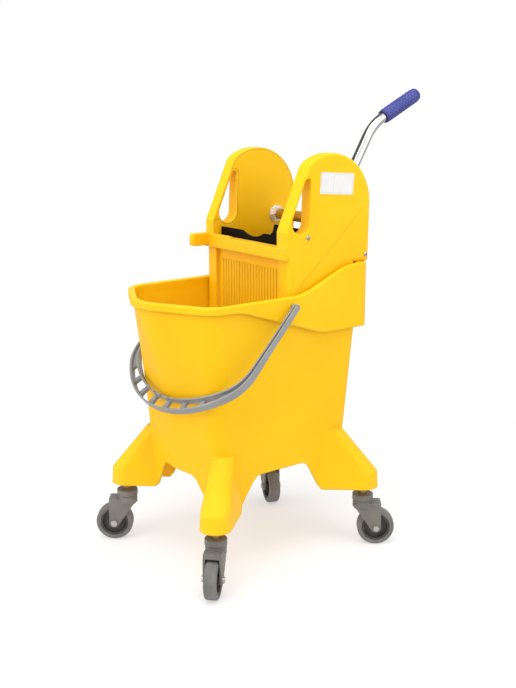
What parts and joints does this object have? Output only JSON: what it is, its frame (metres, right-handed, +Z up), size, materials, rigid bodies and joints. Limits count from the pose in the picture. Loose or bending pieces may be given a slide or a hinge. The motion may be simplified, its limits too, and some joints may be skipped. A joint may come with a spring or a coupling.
{
  "type": "mop bucket with lever wringer",
  "caption": "Wheeled mop bucket with swivel castors, a drop-down bail handle and a lift-off wringer whose lever swings a ribbed press plate towards a strainer.",
  "frame": {"origin": "on the floor, at the middle of the four castor stems", "axes": "+X to the lever's side, +Y from the pouring nose to the wringer's rear, +Z up"},
  "size_m": [0.4124, 0.6374, 0.907],
  "materials": {
    "yellow_plastic": "satin",
    "bail_grey": "satin",
    "castor_grey": "satin",
    "tyre_grey": "matte",
    "hub_dark": "satin",
    "brass": "plain",
    "black_plastic": "satin",
    "chrome": "polished",
    "grip_blue": "satin",
    "screw_steel": "plain"
  },
  "bodies": {
    "bucket": {"bucket_body": "yellow_plastic", "castor_stem_front_left": "brass", "castor_cup_front_left": "castor_grey", "castor_stem_front_right": "brass", "castor_cup_front_right": "castor_grey", "castor_stem_rear_right": "brass", "castor_cup_rear_right": "castor_grey", "castor_stem_rear_left": "brass", "castor_cup_rear_left": "castor_grey"},
    "wringer": {"wringer_body": "yellow_plastic", "wringer_inner_panel_left": "yellow_plastic", "wringer_inner_panel_right": "yellow_plastic", "wringer_screws": "screw_steel", "strainer_plate": "black_plastic", "shaft_bush_left": "black_plastic", "shaft_bush_right": "black_plastic"},
    "press": {"press_shaft": "brass", "shaft_collar_left": "chrome", "shaft_collar_right": "chrome", "press_plate": "black_plastic", "press_plate_screws": "screw_steel", "lever_hub": "black_plastic", "lever_hub_screw": "screw_steel", "lever_tube": "chrome", "lever_grip": "grip_blue"},
    "bail": {"bail_handle": "bail_grey"},
    "fork_front_left": {"castor_fork_front_left": "castor_grey", "castor_axle_front_left": "screw_steel", "castor_nut_front_left": "screw_steel"},
    "wheel_front_left": {"castor_hub_front_left": "hub_dark", "castor_tyre_front_left": "tyre_grey"},
    "fork_front_right": {"castor_fork_front_right": "castor_grey", "castor_axle_front_right": "screw_steel", "castor_nut_front_right": "screw_steel"},
    "wheel_front_right": {"castor_hub_front_right": "hub_dark", "castor_tyre_front_right": "tyre_grey"},
    "fork_rear_right": {"castor_fork_rear_right": "castor_grey", "castor_axle_rear_right": "screw_steel", "castor_nut_rear_right": "screw_steel"},
    "wheel_rear_right": {"castor_hub_rear_right": "hub_dark", "castor_tyre_rear_right": "tyre_grey"},
    "fork_rear_left": {"castor_fork_rear_left": "castor_grey", "castor_axle_rear_left": "screw_steel", "castor_nut_rear_left": "screw_steel"},
    "wheel_rear_left": {"castor_hub_rear_left": "hub_dark", "castor_tyre_rear_left": "tyre_grey"}
  },
  "joints": [
    {"name": "wringer_lift", "type": "slide", "parent": "bucket", "child": "wringer", "axis": [0, 0, 1], "range_m": [0, 0.16]},
    {"name": "press_lever", "type": "hinge", "parent": "wringer", "child": "press", "pos_m": [0, 0.16, 0.653], "axis": [-1, 0, 0], "range_deg": [0, 50]},
    {"name": "bail_swing", "type": "hinge", "parent": "bucket", "child": "bail", "pos_m": [0, 0.003, 0.515], "axis": [-1, 0, 0], "range_deg": [0, 116]},
    {"name": "swivel_front_left", "type": "hinge", "parent": "bucket", "child": "fork_front_left", "pos_m": [-0.157, -0.183, 0.09], "axis": [0, 0, 1], "continuous": true},
    {"name": "wheel_turn_front_left", "type": "hinge", "parent": "fork_front_left", "child": "wheel_front_left", "pos_m": [-0.17351, -0.20436, 0.0375], "axis": [0.7912, -0.6115, 0], "continuous": true},
    {"name": "swivel_front_right", "type": "hinge", "parent": "bucket", "child": "fork_front_right", "pos_m": [0.157, -0.183, 0.09], "axis": [0, 0, 1], "continuous": true},
    {"name": "wheel_turn_front_right", "type": "hinge", "parent": "fork_front_right", "child": "wheel_front_right", "pos_m": [0.17541, -0.20275, 0.0375], "axis": [0.7314, 0.682, 0], "continuous": true},
    {"name": "swivel_rear_right", "type": "hinge", "parent": "bucket", "child": "fork_rear_right", "pos_m": [0.157, 0.183, 0.09], "axis": [0, 0, 1], "continuous": true},
    {"name": "wheel_turn_rear_right", "type": "hinge", "parent": "fork_rear_right", "child": "wheel_rear_right", "pos_m": [0.17351, 0.20436, 0.0375], "axis": [-0.7912, 0.6115, 0], "continuous": true},
    {"name": "swivel_rear_left", "type": "hinge", "parent": "bucket", "child": "fork_rear_left", "pos_m": [-0.157, 0.183, 0.09], "axis": [0, 0, 1], "continuous": true},
    {"name": "wheel_turn_rear_left", "type": "hinge", "parent": "fork_rear_left", "child": "wheel_rear_left", "pos_m": [-0.13191, 0.17302, 0.0375], "axis": [0.3697, 0.9291, 0], "continuous": true}
  ]
}
